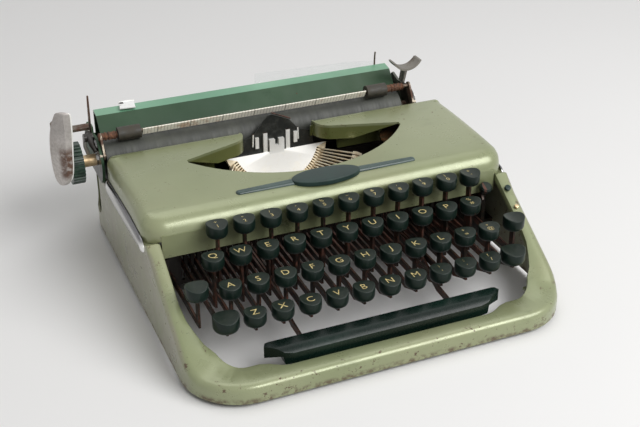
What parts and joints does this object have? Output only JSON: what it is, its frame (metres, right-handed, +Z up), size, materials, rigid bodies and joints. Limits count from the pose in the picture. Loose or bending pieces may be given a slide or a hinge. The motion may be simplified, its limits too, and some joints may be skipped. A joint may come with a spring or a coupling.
{
  "type": "portable typewriter",
  "caption": "Flat portable typewriter with a moving carriage, rubber platen, paper bail, return lever, round keys on sprung levers, space bar, ribbon spools and a fan of type bars.",
  "frame": {"origin": "middle of the footprint, on the table plane under the feet", "axes": "+X to the typist's right along the platen, +Y to the rear, +Z up"},
  "size_m": [0.3082, 0.286, 0.121],
  "materials": {
    "body_paint": "satin olive enamel, worn",
    "feet_rubber": "matt",
    "frame_steel": "dull, darkened",
    "type_steel": "aged, straw coloured",
    "spool_metal": "satin brown",
    "key_plastic": "satin gloss",
    "carriage_metal": "satin grey green",
    "carriage_paint": "gloss, green",
    "platen_rubber": "matt",
    "bail_steel": "aged",
    "lever_aluminium": "dull"
  },
  "bodies": {
    "machine": {"base_housing": "body_paint", "top_cover": "body_paint", "rubber_feet": "feet_rubber", "inner_frame": "frame_steel", "type_basket": "type_steel"},
    "carriage_body": {"carriage": "carriage_metal"},
    "platen_frame_body": {"platen_frame": "carriage_paint"},
    "platen_body": {"platen": "platen_rubber"},
    "bail_body": {"paper_bail": "bail_steel"},
    "return_lever_body": {"return_lever": "lever_aluminium"},
    "release_lever_body": {"release_lever": "lever_aluminium"},
    "left_spool_body": {"ribbon_spool_left": "spool_metal"},
    "right_spool_body": {"ribbon_spool_right": "spool_metal"},
    "selector_body": {"ribbon_selector": "key_plastic"},
    "shift_body": {"shift_keys": "key_plastic"},
    "backspace_body": {"backspace_key": "key_plastic"},
    "space_bar_body": {"space_bar": "key_plastic"},
    "key_z_body": {"type_key_z": "key_plastic"},
    "key_x_body": {"type_key_x": "key_plastic"},
    "key_c_body": {"type_key_c": "key_plastic"},
    "key_v_body": {"type_key_v": "key_plastic"},
    "key_b_body": {"type_key_b": "key_plastic"},
    "key_n_body": {"type_key_n": "key_plastic"},
    "key_m_body": {"type_key_m": "key_plastic"},
    "key_comma_body": {"type_key_comma": "key_plastic"},
    "key_period_body": {"type_key_period": "key_plastic"},
    "key_slash_body": {"type_key_slash": "key_plastic"},
    "key_a_body": {"type_key_a": "key_plastic"},
    "key_s_body": {"type_key_s": "key_plastic"},
    "key_d_body": {"type_key_d": "key_plastic"},
    "key_f_body": {"type_key_f": "key_plastic"},
    "key_g_body": {"type_key_g": "key_plastic"},
    "key_h_body": {"type_key_h": "key_plastic"},
    "key_j_body": {"type_key_j": "key_plastic"},
    "key_k_body": {"type_key_k": "key_plastic"},
    "key_l_body": {"type_key_l": "key_plastic"},
    "key_semicolon_body": {"type_key_semicolon": "key_plastic"},
    "key_at_body": {"type_key_at": "key_plastic"},
    "key_q_body": {"type_key_q": "key_plastic"},
    "key_w_body": {"type_key_w": "key_plastic"},
    "key_e_body": {"type_key_e": "key_plastic"},
    "key_r_body": {"type_key_r": "key_plastic"},
    "key_t_body": {"type_key_t": "key_plastic"},
    "key_y_body": {"type_key_y": "key_plastic"},
    "key_u_body": {"type_key_u": "key_plastic"},
    "key_i_body": {"type_key_i": "key_plastic"},
    "key_o_body": {"type_key_o": "key_plastic"},
    "key_p_body": {"type_key_p": "key_plastic"},
    "key_half_body": {"type_key_half": "key_plastic"},
    "key_1_body": {"type_key_1": "key_plastic"},
    "key_2_body": {"type_key_2": "key_plastic"},
    "key_3_body": {"type_key_3": "key_plastic"},
    "key_4_body": {"type_key_4": "key_plastic"},
    "key_5_body": {"type_key_5": "key_plastic"},
    "key_6_body": {"type_key_6": "key_plastic"},
    "key_7_body": {"type_key_7": "key_plastic"},
    "key_8_body": {"type_key_8": "key_plastic"},
    "key_9_body": {"type_key_9": "key_plastic"},
    "key_0_body": {"type_key_0": "key_plastic"},
    "key_hyphen_body": {"type_key_hyphen": "key_plastic"}
  },
  "joints": [
    {"name": "backspace_press", "type": "hinge", "parent": "machine", "child": "backspace_body", "pos_m": [0.0171, 0.055, 0.0275], "axis": [1, 0, 0], "range_deg": [0, 4.2], "stiffness_Nm_per_rad": 0.3, "springref_deg": -5.73},
    {"name": "bail_swing", "type": "hinge", "parent": "platen_frame_body", "child": "bail_body", "pos_m": [0.0171, 0.0755, 0.081], "axis": [1, 0, 0], "range_deg": [0, 25]},
    {"name": "carriage_slide", "type": "slide", "parent": "machine", "child": "carriage_body", "axis": [1, 0, 0], "range_m": [-0.1, 0.11]},
    {"name": "platen_lift", "type": "slide", "parent": "carriage_body", "child": "platen_frame_body", "axis": [0, 0, 1], "range_m": [0, 0.0065]},
    {"name": "platen_turn", "type": "hinge", "parent": "platen_frame_body", "child": "platen_body", "pos_m": [0.0171, 0.09, 0.0725], "axis": [1, 0, 0], "continuous": true},
    {"name": "release_swing", "type": "hinge", "parent": "platen_frame_body", "child": "release_lever_body", "pos_m": [0.1374, 0.104, 0.0845], "axis": [1, 0, 0], "range_deg": [0, 15]},
    {"name": "return_swing", "type": "hinge", "parent": "platen_frame_body", "child": "return_lever_body", "pos_m": [-0.1459, 0.105, 0.097], "axis": [0, 0, -1], "range_deg": [0, 30], "stiffness_Nm_per_rad": 0.02, "springref_deg": -11.46},
    {"name": "ribbon_turn_left", "type": "hinge", "parent": "machine", "child": "left_spool_body", "pos_m": [-0.0769, 0.038, 0.058], "axis": [0, 0, 1], "continuous": true},
    {"name": "ribbon_turn_right", "type": "hinge", "parent": "machine", "child": "right_spool_body", "pos_m": [0.1111, 0.038, 0.058], "axis": [0, 0, 1], "continuous": true},
    {"name": "selector_tilt", "type": "hinge", "parent": "machine", "child": "selector_body", "pos_m": [0.1314, -0.019, 0.044], "axis": [1, 0, 0], "range_deg": [-1, 6]},
    {"name": "shift_press", "type": "hinge", "parent": "machine", "child": "shift_body", "pos_m": [0.0171, 0.055, 0.0275], "axis": [1, 0, 0], "range_deg": [0, 4.2], "stiffness_Nm_per_rad": 0.6, "springref_deg": -11.46},
    {"name": "space_bar_press", "type": "hinge", "parent": "machine", "child": "space_bar_body", "pos_m": [0.0171, 0.055, 0.0275], "axis": [1, 0, 0], "range_deg": [0, 2], "stiffness_Nm_per_rad": 0.8, "springref_deg": -11.46},
    {"name": "type_key_z", "type": "hinge", "parent": "machine", "child": "key_z_body", "pos_m": [0.0171, 0.055, 0.0275], "axis": [1, 0, 0], "range_deg": [0, 4.2], "stiffness_Nm_per_rad": 0.3, "springref_deg": -5.73},
    {"name": "type_key_x", "type": "hinge", "parent": "machine", "child": "key_x_body", "pos_m": [0.0171, 0.055, 0.0275], "axis": [1, 0, 0], "range_deg": [0, 4.2], "stiffness_Nm_per_rad": 0.3, "springref_deg": -5.73},
    {"name": "type_key_c", "type": "hinge", "parent": "machine", "child": "key_c_body", "pos_m": [0.0171, 0.055, 0.0275], "axis": [1, 0, 0], "range_deg": [0, 4.2], "stiffness_Nm_per_rad": 0.3, "springref_deg": -5.73},
    {"name": "type_key_v", "type": "hinge", "parent": "machine", "child": "key_v_body", "pos_m": [0.0171, 0.055, 0.0275], "axis": [1, 0, 0], "range_deg": [0, 4.2], "stiffness_Nm_per_rad": 0.3, "springref_deg": -5.73},
    {"name": "type_key_b", "type": "hinge", "parent": "machine", "child": "key_b_body", "pos_m": [0.0171, 0.055, 0.0275], "axis": [1, 0, 0], "range_deg": [0, 4.2], "stiffness_Nm_per_rad": 0.3, "springref_deg": -5.73},
    {"name": "type_key_n", "type": "hinge", "parent": "machine", "child": "key_n_body", "pos_m": [0.0171, 0.055, 0.0275], "axis": [1, 0, 0], "range_deg": [0, 4.2], "stiffness_Nm_per_rad": 0.3, "springref_deg": -5.73},
    {"name": "type_key_m", "type": "hinge", "parent": "machine", "child": "key_m_body", "pos_m": [0.0171, 0.055, 0.0275], "axis": [1, 0, 0], "range_deg": [0, 4.2], "stiffness_Nm_per_rad": 0.3, "springref_deg": -5.73},
    {"name": "type_key_comma", "type": "hinge", "parent": "machine", "child": "key_comma_body", "pos_m": [0.0171, 0.055, 0.0275], "axis": [1, 0, 0], "range_deg": [0, 4.2], "stiffness_Nm_per_rad": 0.3, "springref_deg": -5.73},
    {"name": "type_key_period", "type": "hinge", "parent": "machine", "child": "key_period_body", "pos_m": [0.0171, 0.055, 0.0275], "axis": [1, 0, 0], "range_deg": [0, 4.2], "stiffness_Nm_per_rad": 0.3, "springref_deg": -5.73},
    {"name": "type_key_slash", "type": "hinge", "parent": "machine", "child": "key_slash_body", "pos_m": [0.0171, 0.055, 0.0275], "axis": [1, 0, 0], "range_deg": [0, 4.2], "stiffness_Nm_per_rad": 0.3, "springref_deg": -5.73},
    {"name": "type_key_a", "type": "hinge", "parent": "machine", "child": "key_a_body", "pos_m": [0.0171, 0.055, 0.0275], "axis": [1, 0, 0], "range_deg": [0, 4.2], "stiffness_Nm_per_rad": 0.3, "springref_deg": -5.73},
    {"name": "type_key_s", "type": "hinge", "parent": "machine", "child": "key_s_body", "pos_m": [0.0171, 0.055, 0.0275], "axis": [1, 0, 0], "range_deg": [0, 4.2], "stiffness_Nm_per_rad": 0.3, "springref_deg": -5.73},
    {"name": "type_key_d", "type": "hinge", "parent": "machine", "child": "key_d_body", "pos_m": [0.0171, 0.055, 0.0275], "axis": [1, 0, 0], "range_deg": [0, 4.2], "stiffness_Nm_per_rad": 0.3, "springref_deg": -5.73},
    {"name": "type_key_f", "type": "hinge", "parent": "machine", "child": "key_f_body", "pos_m": [0.0171, 0.055, 0.0275], "axis": [1, 0, 0], "range_deg": [0, 4.2], "stiffness_Nm_per_rad": 0.3, "springref_deg": -5.73},
    {"name": "type_key_g", "type": "hinge", "parent": "machine", "child": "key_g_body", "pos_m": [0.0171, 0.055, 0.0275], "axis": [1, 0, 0], "range_deg": [0, 4.2], "stiffness_Nm_per_rad": 0.3, "springref_deg": -5.73},
    {"name": "type_key_h", "type": "hinge", "parent": "machine", "child": "key_h_body", "pos_m": [0.0171, 0.055, 0.0275], "axis": [1, 0, 0], "range_deg": [0, 4.2], "stiffness_Nm_per_rad": 0.3, "springref_deg": -5.73},
    {"name": "type_key_j", "type": "hinge", "parent": "machine", "child": "key_j_body", "pos_m": [0.0171, 0.055, 0.0275], "axis": [1, 0, 0], "range_deg": [0, 4.2], "stiffness_Nm_per_rad": 0.3, "springref_deg": -5.73},
    {"name": "type_key_k", "type": "hinge", "parent": "machine", "child": "key_k_body", "pos_m": [0.0171, 0.055, 0.0275], "axis": [1, 0, 0], "range_deg": [0, 4.2], "stiffness_Nm_per_rad": 0.3, "springref_deg": -5.73},
    {"name": "type_key_l", "type": "hinge", "parent": "machine", "child": "key_l_body", "pos_m": [0.0171, 0.055, 0.0275], "axis": [1, 0, 0], "range_deg": [0, 4.2], "stiffness_Nm_per_rad": 0.3, "springref_deg": -5.73},
    {"name": "type_key_semicolon", "type": "hinge", "parent": "machine", "child": "key_semicolon_body", "pos_m": [0.0171, 0.055, 0.0275], "axis": [1, 0, 0], "range_deg": [0, 4.2], "stiffness_Nm_per_rad": 0.3, "springref_deg": -5.73},
    {"name": "type_key_at", "type": "hinge", "parent": "machine", "child": "key_at_body", "pos_m": [0.0171, 0.055, 0.0275], "axis": [1, 0, 0], "range_deg": [0, 4.2], "stiffness_Nm_per_rad": 0.3, "springref_deg": -5.73},
    {"name": "type_key_q", "type": "hinge", "parent": "machine", "child": "key_q_body", "pos_m": [0.0171, 0.055, 0.0275], "axis": [1, 0, 0], "range_deg": [0, 4.2], "stiffness_Nm_per_rad": 0.3, "springref_deg": -5.73},
    {"name": "type_key_w", "type": "hinge", "parent": "machine", "child": "key_w_body", "pos_m": [0.0171, 0.055, 0.0275], "axis": [1, 0, 0], "range_deg": [0, 4.2], "stiffness_Nm_per_rad": 0.3, "springref_deg": -5.73},
    {"name": "type_key_e", "type": "hinge", "parent": "machine", "child": "key_e_body", "pos_m": [0.0171, 0.055, 0.0275], "axis": [1, 0, 0], "range_deg": [0, 4.2], "stiffness_Nm_per_rad": 0.3, "springref_deg": -5.73},
    {"name": "type_key_r", "type": "hinge", "parent": "machine", "child": "key_r_body", "pos_m": [0.0171, 0.055, 0.0275], "axis": [1, 0, 0], "range_deg": [0, 4.2], "stiffness_Nm_per_rad": 0.3, "springref_deg": -5.73},
    {"name": "type_key_t", "type": "hinge", "parent": "machine", "child": "key_t_body", "pos_m": [0.0171, 0.055, 0.0275], "axis": [1, 0, 0], "range_deg": [0, 4.2], "stiffness_Nm_per_rad": 0.3, "springref_deg": -5.73},
    {"name": "type_key_y", "type": "hinge", "parent": "machine", "child": "key_y_body", "pos_m": [0.0171, 0.055, 0.0275], "axis": [1, 0, 0], "range_deg": [0, 4.2], "stiffness_Nm_per_rad": 0.3, "springref_deg": -5.73},
    {"name": "type_key_u", "type": "hinge", "parent": "machine", "child": "key_u_body", "pos_m": [0.0171, 0.055, 0.0275], "axis": [1, 0, 0], "range_deg": [0, 4.2], "stiffness_Nm_per_rad": 0.3, "springref_deg": -5.73},
    {"name": "type_key_i", "type": "hinge", "parent": "machine", "child": "key_i_body", "pos_m": [0.0171, 0.055, 0.0275], "axis": [1, 0, 0], "range_deg": [0, 4.2], "stiffness_Nm_per_rad": 0.3, "springref_deg": -5.73},
    {"name": "type_key_o", "type": "hinge", "parent": "machine", "child": "key_o_body", "pos_m": [0.0171, 0.055, 0.0275], "axis": [1, 0, 0], "range_deg": [0, 4.2], "stiffness_Nm_per_rad": 0.3, "springref_deg": -5.73},
    {"name": "type_key_p", "type": "hinge", "parent": "machine", "child": "key_p_body", "pos_m": [0.0171, 0.055, 0.0275], "axis": [1, 0, 0], "range_deg": [0, 4.2], "stiffness_Nm_per_rad": 0.3, "springref_deg": -5.73},
    {"name": "type_key_half", "type": "hinge", "parent": "machine", "child": "key_half_body", "pos_m": [0.0171, 0.055, 0.0275], "axis": [1, 0, 0], "range_deg": [0, 4.2], "stiffness_Nm_per_rad": 0.3, "springref_deg": -5.73},
    {"name": "type_key_1", "type": "hinge", "parent": "machine", "child": "key_1_body", "pos_m": [0.0171, 0.055, 0.0275], "axis": [1, 0, 0], "range_deg": [0, 4.2], "stiffness_Nm_per_rad": 0.3, "springref_deg": -5.73},
    {"name": "type_key_2", "type": "hinge", "parent": "machine", "child": "key_2_body", "pos_m": [0.0171, 0.055, 0.0275], "axis": [1, 0, 0], "range_deg": [0, 4.2], "stiffness_Nm_per_rad": 0.3, "springref_deg": -5.73},
    {"name": "type_key_3", "type": "hinge", "parent": "machine", "child": "key_3_body", "pos_m": [0.0171, 0.055, 0.0275], "axis": [1, 0, 0], "range_deg": [0, 4.2], "stiffness_Nm_per_rad": 0.3, "springref_deg": -5.73},
    {"name": "type_key_4", "type": "hinge", "parent": "machine", "child": "key_4_body", "pos_m": [0.0171, 0.055, 0.0275], "axis": [1, 0, 0], "range_deg": [0, 4.2], "stiffness_Nm_per_rad": 0.3, "springref_deg": -5.73},
    {"name": "type_key_5", "type": "hinge", "parent": "machine", "child": "key_5_body", "pos_m": [0.0171, 0.055, 0.0275], "axis": [1, 0, 0], "range_deg": [0, 4.2], "stiffness_Nm_per_rad": 0.3, "springref_deg": -5.73},
    {"name": "type_key_6", "type": "hinge", "parent": "machine", "child": "key_6_body", "pos_m": [0.0171, 0.055, 0.0275], "axis": [1, 0, 0], "range_deg": [0, 4.2], "stiffness_Nm_per_rad": 0.3, "springref_deg": -5.73},
    {"name": "type_key_7", "type": "hinge", "parent": "machine", "child": "key_7_body", "pos_m": [0.0171, 0.055, 0.0275], "axis": [1, 0, 0], "range_deg": [0, 4.2], "stiffness_Nm_per_rad": 0.3, "springref_deg": -5.73},
    {"name": "type_key_8", "type": "hinge", "parent": "machine", "child": "key_8_body", "pos_m": [0.0171, 0.055, 0.0275], "axis": [1, 0, 0], "range_deg": [0, 4.2], "stiffness_Nm_per_rad": 0.3, "springref_deg": -5.73},
    {"name": "type_key_9", "type": "hinge", "parent": "machine", "child": "key_9_body", "pos_m": [0.0171, 0.055, 0.0275], "axis": [1, 0, 0], "range_deg": [0, 4.2], "stiffness_Nm_per_rad": 0.3, "springref_deg": -5.73},
    {"name": "type_key_0", "type": "hinge", "parent": "machine", "child": "key_0_body", "pos_m": [0.0171, 0.055, 0.0275], "axis": [1, 0, 0], "range_deg": [0, 4.2], "stiffness_Nm_per_rad": 0.3, "springref_deg": -5.73},
    {"name": "type_key_hyphen", "type": "hinge", "parent": "machine", "child": "key_hyphen_body", "pos_m": [0.0171, 0.055, 0.0275], "axis": [1, 0, 0], "range_deg": [0, 4.2], "stiffness_Nm_per_rad": 0.3, "springref_deg": -5.73}
  ],
  "couplings": [
    {"joint": "shift_press", "follows": "platen_lift", "rad_per_m": 11.273},
    {"joint": "ribbon_turn_right", "follows": "ribbon_turn_left", "ratio": 1}
  ]
}
